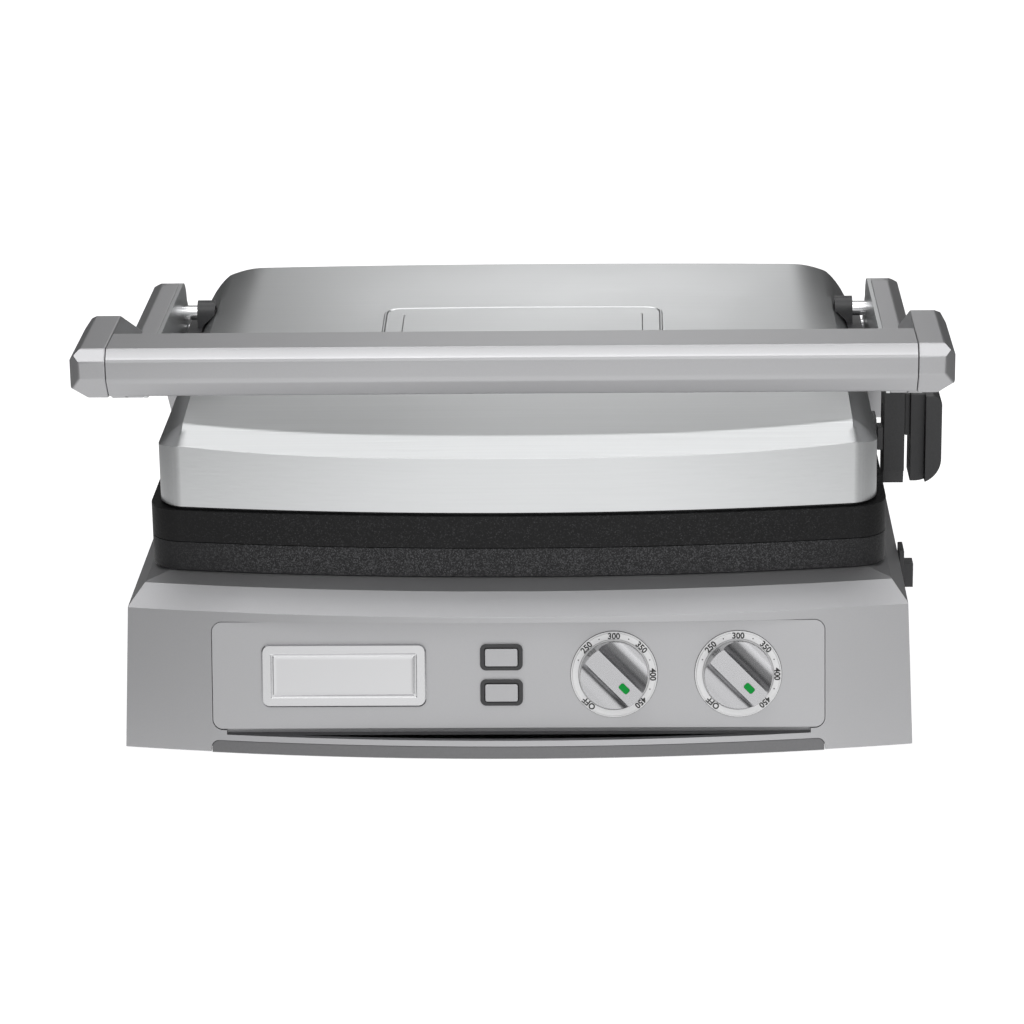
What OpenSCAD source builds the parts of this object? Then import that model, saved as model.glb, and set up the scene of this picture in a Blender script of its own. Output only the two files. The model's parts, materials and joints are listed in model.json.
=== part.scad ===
// Electric indoor grill with lid.
// Two heated plates face each other. The upper one hangs under a steel lid, between two arms that
// carry a handle bar and turn on pins at the back of the base. All sizes are millimetres.
// Drawn in a frame with X to the right, Y to the back and Z up, from the table.

/* [Base] */
// Half width of the base at the table
base_half_w = 200; // [195:1:205]
// Front of the base at the middle of its bow
base_front = -182; // [-185:1:-180]
// Back of the base
base_back = 145; // [142:1:146]
// Height where the front face turns into the sloping shoulder
shoulder_z = 71; // [69:1:73]
// Height of the deck round the lower plate
deck_z = 82.6; // [81:0.1:83]
// Lean of the front face from upright
front_lean = 12; // [10:1:13]
// Radius of the bow of every front edge, seen from above
bow_r = 1100; // [1000:10:1300]
// Wall thickness of the moulded base
base_wall = 3; // [2.4:0.1:3.4]

/* [Control panel] */
// Half width of the flat control panel
panel_half_w = 154.8; // [150:0.1:158]
// Height of the panel along its own face
panel_h = 54.6; // [50:0.1:56]
// Height of the panel's middle above the table
panel_z = 38.9; // [38:0.1:40]
// Place of the panel's middle across the base
panel_x = 0.4; // [-2:0.1:2]
// Place of the lower plate's dial across the base
lower_dial_x = 49.1; // [44:0.1:50]
// Place of the upper plate's dial across the base
upper_dial_x = 111.7; // [105:0.1:114]
// Outer radius of the numbered ring round a dial
ring_r = 21.9; // [20:0.1:23]
// Radius of a dial knob
knob_r = 17.3; // [16:0.1:18]
// Middle of the column of sear buttons
sear_x = -7.8; // [-14:0.1:-6]
// Height of the two sear buttons above and below the panel's middle
sear_y = 9; // [8:0.1:10]
// Middle of the blank name plate
badge_x = -87.6; // [-95:0.1:-80]

/* [Plates] */
// Half width of both grill plates
plate_half_w = 188.5; // [186:0.1:189]
// Front of both plates at the middle of the bow
plate_front = -139; // [-140:0.5:-137]
// Back of both plates
plate_back = 118; // [114:1:118]
// Height where the two plates meet
meet_z = 98.2; // [97.5:0.1:99]
// Height of the lower plate's rim
lower_rim = 14.8; // [14:0.1:15]
// Height of the upper plate's rim
upper_rim = 16.6; // [16:0.1:17]
// Thickness of the cast rim and of the plate's floor
plate_wall = 4; // [3.5:0.1:5]
// Distance from one grill rib to the next
rib_step = 19; // [17:1:24]
// Height of a grill rib
rib_h = 3.5; // [3:0.1:4]

/* [Lid] */
// Half width of the steel lid
lid_half_w = 183.6; // [183:0.1:185]
// Front of the lid at the middle of its bow
lid_front = -137; // [-138:0.5:-136]
// Back of the lid
lid_back = 119; // [117:1:119]
// Bottom edge of the steel
lid_z = 116.5; // [116.2:0.1:117]
// Top of the upright front wall
lid_wall_z = 145; // [143:0.5:147]
// Top of the bright front slope
lid_brow_z = 152; // [150:0.5:154]
// Height of the lid at the back
lid_top_z = 180; // [176:0.5:182]
// Thickness of the lid's steel
lid_t = 1.6; // [1.2:0.1:2]

/* [Arms and handle] */
// Height of the hinge pins at the back of the base
hinge_z = 98.2; // [97.5:0.1:99]
// Distance back of the hinge pins
hinge_y = 135; // [134:0.5:136]
// Height of the pins that the lid tilts on
pivot_z = 171; // [170:0.5:172]
// Distance back of the pins that the lid tilts on
pivot_y = 55; // [50:1:58]
// Inner face of each arm
arm_in = 187.5; // [187:0.1:188]
// Outer face of each arm
arm_out = 205; // [204:0.5:206]
// Half length of the handle bar
bar_half = 197.5; // [196:0.1:198]
// Outer end of the handle caps
cap_out = 216; // [214:0.5:217]
// Top of the handle
bar_top = 216.5; // [215:0.5:217]
// Front of the handle
bar_front = -187; // [-188:0.5:-186]

/* [Hidden] */
$fn = 64;
// Smoothness of the long bowed faces
bow_fn = 360;
// The middle of the whole outline lies over the origin: the release lever makes it lopsided.
mid_x = -4.3;
mid_y = 19.5;

silver = "#b4b4b6";
steel = "#cdd0d2";
coated = "#1b1b1c";
dark = "#3c3c3e";
bright = "#e6e6e6";
sheet = "#8f9194";
board = "#2f6b3c";
lamp = "#2ea35a";
copper = "#b87333";

shoulder_run = 15;
side_lean = 1.8;
side_run = 7.8;
side_raise = 0.3;
deck_rise = 3;
deck_run = 13;
foot_gap = 1;
lip_z = 6.8;
lip_half = 155.5;
ledge_drop = 1.7;
notch_x = 188.9;
notch_y = 117;
notch_z = 58;
gap = 0.4;
pin_play = 0.05;
panel_t = 2.4;
knob_h = 14;
hinge_pin_r = 5;
pivot_pin_r = 4;
leg_in = 190;
hinge_boss_r = 13;
pivot_boss_r = 16;
arm_top = pivot_z + pivot_boss_r;
cover_t = 2;
// Place of the release lever under the right arm
lever_y = 8;
lever_z = 128;
lever_in = 208.2;
lever_out = 224.6;
lever_low = 90.2;
stop_low = 88;
// Opening for the drip tray in the left side
tray_y0 = 38;
tray_y1 = 112;
tray_z0 = 20;
tray_z1 = 46;
tray_inner = -64;
button_y = -62;
lower_button_z = 59;
upper_button_z = 134;
screw_x = 176;
screw_ys = [-114, 24];
foot_ys = [-148, 122];
// Drain from the lower plate to the tray
drain_x = -161.5;
drain_y = 86;

function face_y(x, z) = base_front + bow_r - sqrt(bow_r * bow_r - x * x) + z * tan(front_lean);
panel_y = face_y(panel_half_w, panel_z);

// Where the line through p at angle a crosses the line through q at angle b
function meet(p, a, q, b) =
    let (s = ((q[0] - p[0]) * sin(b) - (q[1] - p[1]) * cos(b)) / (cos(a) * sin(b) - sin(a) * cos(b)))
    [p[0] + s * cos(a), p[1] + s * sin(a)];

// ---------------------------------------------------------------- helpers

// Moves the drawing frame so that the origin is under the middle of the whole outline
module placed() {
    translate([mid_x, mid_y, 0]) children();
}

module both_sides() {
    children();
    mirror([1, 0, 0]) children();
}

// A bar along X from x0 to x1
module along_x(x0, x1) {
    translate([x0, 0, 0]) rotate([90, 0, 90]) linear_extrude(x1 - x0) children();
}

module rod_x(x0, x1, y, z, r) {
    translate([x0, y, z]) rotate([0, 90, 0]) cylinder(r = r, h = x1 - x0);
}

// Plan of a body with a bowed front, straight sides and rounded corners
module bowed_plan(w, front, back, r) {
    bow_y = front + bow_r;
    corner_y = bow_y - sqrt(pow(bow_r - r, 2) - pow(w - r, 2));
    intersection() {
        translate([0, bow_y]) circle(r = bow_r, $fn = bow_fn);
        translate([r - w, front - 1]) square([2 * (w - r), back - front + 1]);
    }
    for (side = [-1, 1]) {
        translate([side * (w - r), corner_y]) circle(r = r);
        translate([side * (w - r), back - r]) circle(r = r);
        translate([side > 0 ? 0 : -w, corner_y]) square([w, back - r - corner_y]);
    }
}

module bowed_slab(w, front, back, r, z0, z1) {
    translate([0, 0, z0]) linear_extrude(z1 - z0) bowed_plan(w, front, back, r);
}

// A rectangle with round corners, centred
module round_rect(w, h, r) {
    square([w - 2 * r, h], center = true);
    square([w, h - 2 * r], center = true);
    for (x = [-1, 1], y = [-1, 1]) translate([x * (w / 2 - r), y * (h / 2 - r)]) circle(r = r);
}

// The panel's own frame: X across, Y up its face, Z out of it
module on_panel(x = 0, y = 0, z = 0) {
    translate([0, panel_y, panel_z]) rotate([90 - front_lean, 0, 0]) translate([x, y, z]) children();
}

module spring(r, wire, length, turns) {
    // One unbroken wire, wound from round beads of a helix that functions place
    steps = turns * 16;
    ring = 8;
    function at(i) = let (a = 360 * turns * i / steps) [r * cos(a), r * sin(a), length * i / steps];
    function rim(i, k) =
        let (a = 360 * turns * i / steps, b = 360 * k / ring, p = at(i))
        [p[0] + wire * cos(b) * cos(a), p[1] + wire * cos(b) * sin(a), p[2] + wire * sin(b)];
    points = [for (i = [0:steps], k = [0:ring - 1]) rim(i, k)];
    sides = [for (i = [0:steps - 1], k = [0:ring - 1])
        [i * ring + k, i * ring + (k + 1) % ring, (i + 1) * ring + (k + 1) % ring, (i + 1) * ring + k]];
    ends = [[for (k = [ring - 1:-1:0]) k], [for (k = [0:ring - 1]) steps * ring + k]];
    polyhedron(points = points, faces = concat(sides, ends), convexity = 10);
}

// ---------------------------------------------------------------- base

// Half section of the leaning wall, the shoulder and the deck, at distance r from an upright axis
function shoulder_points(r, lean, run, t) =
    let (
        foot = [r - t / cos(lean), 0],
        knee = [r - shoulder_z * tan(lean), shoulder_z],
        deck_low = deck_z - deck_rise,
        shoulder_a = atan2(deck_low - shoulder_z, -run),
        rise_a = atan2(deck_rise, -deck_run),
        brow = [knee[0] - run, deck_low],
        knee_in = knee + t * [sin(shoulder_a + 180), cos(shoulder_a)],
        brow_in = brow + t * [sin(rise_a + 180), cos(rise_a)],
        p1 = meet(foot, 90 + lean, knee_in, shoulder_a),
        p2 = meet(knee_in, shoulder_a, brow_in, rise_a),
        p3 = meet(brow_in, rise_a, [0, deck_z - t], 180)
    )
    [foot, p1, p2, p3];

// The outside of the base, drawn in by t on every face but the bottom
module base_form(t, z0 = 0) {
    front = shoulder_points(bow_r, front_lean, shoulder_run, t);
    side = [for (p = shoulder_points(base_half_w, side_lean, side_run, t)) p + [0, side_raise]];
    inner_r = 700;
    difference() {
        intersection() {
            translate([0, base_front + bow_r, z0])
                rotate([0, 0, 250])
                    rotate_extrude(angle = 40, $fn = bow_fn * 2)
                        translate([0, -z0])
                            intersection() {
                                polygon(concat(front, [[inner_r, deck_z - t], [inner_r, 0]]));
                                translate([inner_r, z0]) square([500, 200]);
                            }
            translate([0, base_back, 0])
                rotate([90, 0, 0])
                    linear_extrude(400)
                        polygon(concat(side, [for (i = [3:-1:0]) [-side[i][0], side[i][1]]]));
            translate([0, (base_back - t - 260) / 2, z0])
                linear_extrude(200) round_rect(2 * (base_half_w + 2 - t), base_back - t + 260, 14);
        }
        both_sides()
            translate([notch_x - t, notch_y - t, notch_z - t]) cube([40, 60, 60]);
    }
}

module panel_outline(grow) {
    translate([panel_x, 0]) round_rect(2 * (panel_half_w + grow), panel_h + 2 * grow, 5 + grow);
}

module panel_holes() {
    for (x = [lower_dial_x, upper_dial_x]) translate([x, 0]) circle(r = 6);
    for (y = [-sear_y, sear_y]) translate([sear_x, y]) square([17.4, 9.8], center = true);
}

module base_housing() placed() color(silver) {
    top_w = plate_half_w - 12.5;
    difference() {
        union() {
            difference() {
                base_form(0, foot_gap);
                base_form(base_wall);
            }
            // Solid front round the control panel, where the bow stands out past it
            intersection() {
                base_form(0.5, foot_gap);
                on_panel(0, 0, -panel_t - base_wall)
                    linear_extrude(20) panel_outline(3);
            }
            // Screw posts for the bottom pan
            for (x = [-screw_x, screw_x], y = screw_ys)
                translate([x, y, 6]) cylinder(r = 5, h = deck_z - 8);
        }
        // Round the lower plate the deck is open
        translate([0, 0, 60]) linear_extrude(40) bowed_plan(top_w, plate_front + 12, plate_back - 12, 10);
        // Recess of the panel
        on_panel(0, 0, -panel_t) linear_extrude(40) panel_outline(gap);
        // Below the panel the recess ends in a level ledge, a little lower than the panel's edge
        on_panel(panel_x, -panel_h / 2 - gap, 0.3 - panel_t) rotate([front_lean, 0, 0])
            translate([7 - panel_half_w, -ledge_drop, 0]) cube([2 * panel_half_w - 14, 20, 40]);
        on_panel(0, 0, -20) linear_extrude(40) panel_holes();
        // The front lip stops short of the table between the feet
        translate([0, base_front - 5, 0]) rotate([-90, 0, 0])
            linear_extrude(60) round_rect(2 * lip_half, 2 * lip_z, 4);
        // Doorway of the drip tray
        translate([-base_half_w - 5, tray_y0 - 0.6, tray_z0 - 0.6])
            cube([30, tray_y1 - tray_y0 + 1.2, tray_z1 - tray_z0 + 1.2]);
        // Cord inlet in the back
        translate([120, base_back - 20, 30]) rotate([-90, 0, 0]) cylinder(r = 9.2, h = 40);
        // Bore of the lower release button
        rod_x(180, 220, button_y, lower_button_z, 4.6);
        // Slots of the hinge brackets
        both_sides() translate([169.9, hinge_y - 10.1, deck_z - 8]) cube([15.6, 17, 20]);
        for (x = [-screw_x, screw_x], y = screw_ys) translate([x, y, 0]) cylinder(r = 1.5, h = 22);
    }
}

module bottom_pan() placed() color(sheet) {
    wall_in = base_wall + 3.6;
    wall_top = 7.1;
    pan_t = 1.2;
    inner_z = 2.8;
    difference() {
        union() {
            intersection() {
                base_form(wall_in, foot_gap + 0.2);
                translate([-250, -200, 0]) cube([500, 400, wall_top]);
            }
            // Front band, flush in the opening below the housing's lip
            intersection() {
                base_form(0.6, 0.5);
                translate([0, base_front - 5, 0]) rotate([-90, 0, 0])
                    linear_extrude(26) round_rect(2 * (lip_half - gap), 2 * (lip_z - gap), 4 - gap);
            }
        }
        difference() {
            intersection() {
                base_form(wall_in + pan_t, inner_z);
                translate([-250, -200, 0]) cube([500, 400, 20]);
            }
            for (x = [-screw_x, screw_x], y = screw_ys)
                translate([x, y, 0]) cylinder(r = 7, h = 5.8);
        }
        for (x = [-screw_x, screw_x], y = screw_ys) translate([x, y, -1]) cylinder(r = 1.7, h = 20);
        for (x = [-screw_x, screw_x], y = screw_ys) translate([x, y, 0]) cylinder(r = 3.4, h = 3.4);
        for (x = [-screw_x, screw_x], y = foot_ys) translate([x, y, -1]) cylinder(r = 3.5, h = 20);
        for (i = [-4:4]) translate([i * 22, 30, -1]) linear_extrude(20) round_rect(5, 60, 2.4);
    }
}

module rubber_feet() placed() color(dark)
    for (x = [-screw_x, screw_x], y = foot_ys) translate([x, y, 0]) {
        cylinder(r1 = 9.5, r2 = 10.5, h = 1.1);
        cylinder(r = 3.4, h = 5);
        translate([0, 0, 2.9]) cylinder(r = 5, h = 2.1);
    }

module pan_screws() placed() color(bright)
    for (x = [-screw_x, screw_x], y = screw_ys) translate([x, y, 1.7]) difference() {
        union() {
            cylinder(r = 3.2, h = 1.7);
            cylinder(r = 1.45, h = 16);
        }
        translate([0, 0, -1]) linear_extrude(2) round_rect(4, 0.9, 0.3);
    }

// ---------------------------------------------------------------- control panel

module control_panel() placed() color(silver)
    on_panel(0, 0, -panel_t + 0.02) linear_extrude(panel_t - 0.02) difference() {
        panel_outline(0);
        for (x = [lower_dial_x, upper_dial_x]) translate([x, 0]) circle(r = 8);
        for (y = [-sear_y, sear_y]) translate([sear_x, y]) round_rect(18.6, 10.6, 1.5);
    }

// The polished plate carries a plain raised border and nothing else
module name_plate() placed() color(bright)
    on_panel(badge_x, 0, 0.02) difference() {
        linear_extrude(2.2) round_rect(83.5, 32, 4);
        translate([0, 0, 1.6]) linear_extrude(2) round_rect(76, 24.5, 2.5);
    }

module sear_bezels() placed() color(dark)
    for (y = [-sear_y, sear_y]) on_panel(sear_x, y, 0) difference() {
        union() {
            linear_extrude(1.8) round_rect(21.5, 13.3, 3);
            translate([0, 0, -panel_t]) linear_extrude(panel_t) round_rect(18.4, 10.4, 1.4);
        }
        translate([0, 0, -5]) linear_extrude(10) round_rect(17.2, 9.6, 1.4);
    }

module sear_button(y) color(silver) on_panel(sear_x, y, 0) {
    translate([0, 0, -2.8]) linear_extrude(5.6) round_rect(16.6, 9, 1.1);
    translate([0, 0, -7]) linear_extrude(4.2) square([6, 3], center = true);
}
module lower_sear_button() placed() sear_button(-sear_y);
module upper_sear_button() placed() sear_button(sear_y);

module dial_ring(x) color(bright) on_panel(x, 0, 0.02) difference() {
    union() {
        cylinder(r = ring_r, h = 1.2);
        cylinder(r = ring_r - 0.8, h = 1.8);
    }
    translate([0, 0, -1]) cylinder(r = 8, h = 6);
    translate([0, 0, 1.4]) cylinder(r = knob_r + 0.6, h = 6);
}
module lower_dial_ring() placed() dial_ring(lower_dial_x);
module upper_dial_ring() placed() dial_ring(upper_dial_x);

// Knob: a low skirt with a grip bar left between two scooped sides, resting at the hottest mark
module dial_knob(x) color(steel) on_panel(x, 0, 0) rotate([0, 0, -45]) {
    bar_w = 9.6;
    scoop_r = 10.5;
    face_z = 2 + knob_h;
    difference() {
        translate([0, 0, 2]) cylinder(r1 = knob_r, r2 = knob_r - 1, h = knob_h);
        for (side = [-1, 1])
            translate([-30, side * (bar_w / 2 + scoop_r), face_z])
                rotate([0, 90, 0]) cylinder(r = scoop_r, h = 60);
        for (side = [-1, 1])
            translate([-30, side > 0 ? bar_w / 2 + scoop_r : -bar_w / 2 - scoop_r - 40, face_z - scoop_r])
                cube([60, 40, 20]);
        translate([7.2, 0, knob_h - 1]) linear_extrude(8) round_rect(5.6, 3.4, 1);
    }
    translate([0, 0, -22]) difference() {
        cylinder(r = 3, h = 25);
        translate([2, -5, -1]) cube([5, 10, 12]);
    }
}
module lower_dial_knob() placed() dial_knob(lower_dial_x);
module upper_dial_knob() placed() dial_knob(upper_dial_x);

module dial_lens(x) color(lamp) on_panel(x, 0, 0) rotate([0, 0, -45])
    translate([7.2, 0, knob_h - 1]) linear_extrude(3.2) round_rect(5.4, 3.2, 0.9);
module lower_dial_lens() placed() dial_lens(lower_dial_x);
module upper_dial_lens() placed() dial_lens(upper_dial_x);

// ---------------------------------------------------------------- inside the base

module control_board() placed() color(board) on_panel(30, 0, -34) {
    difference() {
        linear_extrude(1.6) round_rect(230, 40, 2);
        for (x = [-108, 108], y = [-14, 14]) translate([x, y, -1]) cylinder(r = 1.6, h = 4);
        translate([sear_x - 30, 0, -1]) linear_extrude(4) square([22, 30], center = true);
    }
    for (x = [-90, -70]) translate([x, 0, 1.6]) cylinder(r = 6, h = 12);
    translate([-95, -16, -8]) cube([30, 14, 8]);
}

module sear_switches() placed() color(dark)
    for (y = [-sear_y, sear_y]) on_panel(sear_x, y, 0) {
        translate([-6, -4, -20]) cube([12, 8, 11]);
        translate([-10, -5, -34]) cube([20, 10, 14.2]);
    }

module thermostat(x) color(sheet) on_panel(x, 0, 0) difference() {
    union() {
        translate([0, 0, -28]) cylinder(r = 15, h = 18);
        translate([0, 0, -12]) cylinder(r = 5.4, h = 6.4);
        translate([-4, -19, -32]) cube([8, 38, 5]);
    }
    translate([0, 0, -24]) cylinder(r = 3 + pin_play, h = 30);
}
module lower_thermostat() placed() thermostat(lower_dial_x);
module upper_thermostat() placed() thermostat(upper_dial_x);

// Thin reflector with turned-up sides
module heat_shield(w, front, back, z0, z1, t) {
    difference() {
        bowed_slab(w, front, back, 10, z0, z1);
        bowed_slab(w - t, front + t, back - t, 9, z0 + t, z1 + 1);
    }
}

module lower_heat_shield() placed() color(sheet) difference() {
    union() {
        heat_shield(plate_half_w - 16, plate_front + 16, plate_back - 16, 60, deck_z + 2, 1.2);
        difference() {
            bowed_slab(plate_half_w - 3, plate_front + 3.5, plate_back - 3.5, 12, deck_z, deck_z + 0.5);
            bowed_slab(plate_half_w - 17, plate_front + 17, plate_back - 17, 9, deck_z - 1, deck_z + 3);
        }
    }
    // Outlet over the drip tray
    translate([drain_x, drain_y, 50]) cylinder(r = 8, h = 20);
    for (x = [-30, 30]) translate([x, 92, 50]) cylinder(r = 4.6, h = 20);
}

// Tubular element: two long loops with both tails coming out at the back
module heating_element(z, down) {
    r = 3.3;
    loop_w = 130;
    near = -95;
    far = 80;
    bend = 18;
    module quarter(x, y, a) translate([x, y, z]) rotate([0, 0, a])
        rotate_extrude(angle = 90) translate([bend, 0]) circle(r = r, $fn = 24);
    module run(p, q) translate([p[0], p[1], z])
        rotate([0, 0, atan2(q[1] - p[1], q[0] - p[0])]) rotate([0, 90, 0])
            cylinder(r = r, h = norm(q - p), $fn = 24);
    both_sides() {
        run([0, near], [loop_w - bend, near]);
        quarter(loop_w - bend, near + bend, 270);
        run([loop_w, near + bend], [loop_w, far - bend]);
        quarter(loop_w - bend, far - bend, 0);
        run([loop_w - bend, far], [30, far]);
        // Sleeve of the cold end, turned up or down to the terminals
        translate([30, far, down > 0 ? z - down : z - 4]) cylinder(r = 4, h = abs(down) + 4, $fn = 24);
    }
}

module lower_heating_element() placed() color(dark) translate([0, 12, 0]) heating_element(80, 32);

module plate_clip(x, z0, z1) {
    translate([x - 6, -9, z0]) cube([12, 18, 1.2]);
    translate([x - 6, -9, z0]) cube([1.2, 18, z1 - z0]);
}

module lower_plate_clips() placed() color(bright)
    for (y = [-60, 55]) translate([0, y, 0]) both_sides() plate_clip(164, 61.2, 85);

// Cast plate: a rim with a bowed front, a floor and rows of ribs
module grill_plate(rim) {
    depth = plate_wall;
    inner_w = plate_half_w - depth;
    difference() {
        bowed_slab(plate_half_w, plate_front, plate_back, 18, 0, rim);
        bowed_slab(inner_w, plate_front + depth, plate_back - depth, 14, 2.4 + depth, rim + 1);
        translate([0, 0, -1])
            bowed_slab(plate_half_w - 11, plate_front + 11, plate_back - 11, 10, 0, 3.4);
    }
    ribs = floor((inner_w - 12) / rib_step);
    translate([0, 0, 2.4 + depth])
        for (i = [-ribs:ribs])
            translate([i * rib_step, (plate_front + plate_back) / 2 + 4, 0])
                rotate([90, 0, 0])
                    linear_extrude(216, center = true)
                        polygon([[-3, -1], [3, -1], [3, 0], [1.6, rib_h], [-1.6, rib_h], [-3, 0]]);
}

module lower_grill_plate() placed() color(coated) difference() {
    translate([0, 0, meet_z - 0.2 - lower_rim]) grill_plate(lower_rim);
    // Drain at the back left corner
    translate([drain_x - 6, drain_y - 6, meet_z - 20]) cube([12, 12, 12]);
}

// Guide plate of the lower release button, open at the bottom for the button's head
module lower_button_bezel() placed() color(dark) difference() {
    translate([198.6, button_y - 8, 55]) cube([2.6, 16, 17.4]);
    translate([190, button_y - 5.4, 40]) cube([20, 10.8, 24.8]);
    translate([198, button_y, 200]) rotate([0, side_lean, 0]) cube([3, 40, 400], center = true);
}

module lower_plate_button() placed() color(dark) {
    difference() {
        rod_x(177, 202, button_y, lower_button_z, 4.3);
        rod_x(176, 184, button_y, lower_button_z, 3.4);
    }
    translate([201, button_y - 5, 51.4]) cube([5.2, 10, 13]);
}

module lower_button_spring() placed() color(bright)
    translate([173.2, button_y, lower_button_z]) rotate([0, 90, 0]) spring(2.4, 0.4, 8, 6);

module tray_guides() placed() color(sheet) difference() {
    translate([-192, tray_y0 - 3, tray_z0 - 2]) cube([132, tray_y1 - tray_y0 + 6, 30]);
    translate([-193, tray_y0 - 0.8, tray_z0 - 0.4]) cube([130, tray_y1 - tray_y0 + 1.6, 40]);
    translate([-160, tray_y0 + 12, tray_z0 - 5]) cube([80, tray_y1 - tray_y0 - 24, 10]);
}

module drip_tray() placed() color(coated) {
    difference() {
        translate([-196, tray_y0, tray_z0]) cube([196 + tray_inner, tray_y1 - tray_y0, 20]);
        translate([-193.5, tray_y0 + 2, tray_z0 + 2])
            cube([191 + tray_inner, tray_y1 - tray_y0 - 4, 30]);
    }
    difference() {
        translate([-201.4, tray_y0, tray_z0]) cube([5.5, tray_y1 - tray_y0, tray_z1 - tray_z0]);
        translate([-203, (tray_y0 + tray_y1) / 2, tray_z0 + 12]) rotate([0, 90, 0])
            cylinder(r = 9, h = 5);
    }
}

module cord_gland() placed() color(dark) translate([120, base_back, 30]) rotate([-90, 0, 0])
    difference() {
        union() {
            translate([0, 0, 0.02]) cylinder(r = 11, h = 2.4);
            translate([0, 0, -6]) cylinder(r = 9, h = 8);
            translate([0, 0, -6]) cylinder(r = 10.5, h = 2.8);
        }
        translate([0, 0, -8]) cylinder(r = 3.6, h = 14);
    }

module terminal_block() placed() color(bright) difference() {
    translate([60, 105, 8]) cube([46, 18, 14]);
    for (i = [0:3]) translate([66 + i * 11, 114, 10]) cylinder(r = 2.4, h = 20);
}

// ---------------------------------------------------------------- hinge

module hinge_brackets() placed() color(dark) both_sides() difference() {
    union() {
        rod_x(170, 186.6, hinge_y, hinge_z, 10);
        translate([170, hinge_y - 10, deck_z - 14]) cube([15.4, 16.8, hinge_z - deck_z + 14]);
        translate([150, hinge_y - 12, 30]) cube([35.4, 9, 44]);
    }
    rod_x(160, 200, hinge_y, hinge_z, hinge_pin_r);
}

module hinge_pins() placed() color(bright) both_sides() {
    rod_x(170.5, 203, hinge_y, hinge_z, hinge_pin_r);
    rod_x(168.4, 170, hinge_y, hinge_z, 7);
    rod_x(169.9, 170.6, hinge_y, hinge_z, hinge_pin_r);
}

module hinge_bushings() placed() color(copper) both_sides() difference() {
    rod_x(leg_in - 2, 202, hinge_y, hinge_z, 7);
    rod_x(leg_in - 3, 203.5, hinge_y, hinge_z, hinge_pin_r + pin_play);
}

// ---------------------------------------------------------------- arms and handle

// Side view of the beam, its round back end and the leg that goes down to the hinge
module arm_profile() {
    run = [hinge_y - pivot_y, hinge_z - pivot_z];
    polygon([[-112, 171], [pivot_y, 152], [pivot_y, arm_top], [-112, arm_top]]);
    translate([pivot_y, pivot_z]) circle(r = pivot_boss_r + 0.2);
    translate([hinge_y, hinge_z]) circle(r = hinge_boss_r + 0.2);
    translate([pivot_y, pivot_z]) rotate(atan2(run[1], run[0]))
        translate([0, -hinge_boss_r]) square([norm(run), 2 * hinge_boss_r]);
}

// The end cap, the wedge behind it and the beam are one casting
module arm() {
    bevel = 5.5;
    wedge_end = -41;
    module cap_side() polygon([
        [bar_front + 0.5, 202], [bar_front + 0.5, 211], [bar_front + 5.5, bar_top],
        [-120, bar_top], [wedge_end, arm_top], [wedge_end, 166],
        [-112, 171], [-149, 190.5], [bar_front + 8.5, 190.5]
    ]);
    module cap_plan() polygon([
        [bar_half + 0.3, bar_front], [cap_out - bevel, bar_front], [cap_out, bar_front + bevel],
        [cap_out, -124], [arm_out, wedge_end], [arm_out, 0], [bar_half + 0.3, 0]
    ]);
    module cap_front() polygon([
        [bar_half, 160], [arm_out, 160], [cap_out - bevel - 3, 190], [cap_out, 197],
        [cap_out, bar_top - bevel], [cap_out - bevel, bar_top + 0.1], [bar_half, bar_top + 0.1]
    ]);
    difference() {
        union() {
            intersection() {
                along_x(arm_in + cover_t, arm_out) arm_profile();
                // Under the cover line the leg stands off the plates
                union() {
                    translate([0, -200, 125]) cube([300, 400, 100]);
                    translate([leg_in, -200, 60]) cube([100, 400, 80]);
                }
                // The outer top edge is cut back all the way
                translate([0, 200, 0]) rotate([90, 0, 0]) linear_extrude(400) polygon([
                    [arm_in, 60], [arm_out, 60], [arm_out, arm_top - 4.5],
                    [arm_out - 6, arm_top], [arm_in, arm_top + 1]
                ]);
            }
            intersection() {
                along_x(bar_half + 0.3, cap_out) cap_side();
                translate([0, 0, 150]) linear_extrude(100) cap_plan();
                translate([0, 10, 0]) rotate([90, 0, 0]) linear_extrude(220) cap_front();
            }
        }
        // Hollow behind the inner cover
        along_x(arm_in, arm_out - 4)
            difference() {
                polygon([[-100, arm_top - 4], [pivot_y, arm_top - 4], [pivot_y, 157], [-100, 174.5]]);
                translate([pivot_y, pivot_z]) circle(r = 9);
            }
        rod_x(180, 202, hinge_y, hinge_z, 7);
        rod_x(180, 204, hinge_y, hinge_z, hinge_pin_r + 0.2);
        rod_x(180, 200, pivot_y, pivot_z, pivot_pin_r);
        // Screw hole into the handle bar
        rod_x(190, 214.5, -168, 204, 2.3);
        rod_x(211, 230, -168, 204, 4.6);
    }
}

module left_arm() placed() color(silver) mirror([1, 0, 0]) arm();
module right_arm() placed() color(silver) difference() {
    arm();
    // Seat of the stop housing
    translate([193.9, lever_y - 14.1, 140]) cube([11.2, 28.2, 25]);
}

module arm_cover() difference() {
    along_x(arm_in, arm_in + cover_t - 0.02) intersection() {
        arm_profile();
        translate([-112, 126]) square([400, 120]);
    }
    rod_x(180, 200, pivot_y, pivot_z, pivot_pin_r + 0.1);
}
module left_arm_cover() placed() color(steel) mirror([1, 0, 0]) arm_cover();
module right_arm_cover() placed() color(steel) arm_cover();

module handle_bar() placed() color(silver) difference() {
    along_x(-bar_half, bar_half) difference() {
        polygon([
            [bar_front, 201], [bar_front, 211.5], [bar_front + 5, bar_top], [-153, bar_top],
            [-149, bar_top - 4], [-149, 195], [-153, 191], [bar_front + 8, 191]
        ]);
        polygon([
            [bar_front + 3, 202.5], [bar_front + 3, 210], [bar_front + 6.5, bar_top - 3],
            [-154, bar_top - 3], [-152, bar_top - 5], [-152, 196], [-154, 194], [bar_front + 9.5, 194]
        ]);
    }
}

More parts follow.
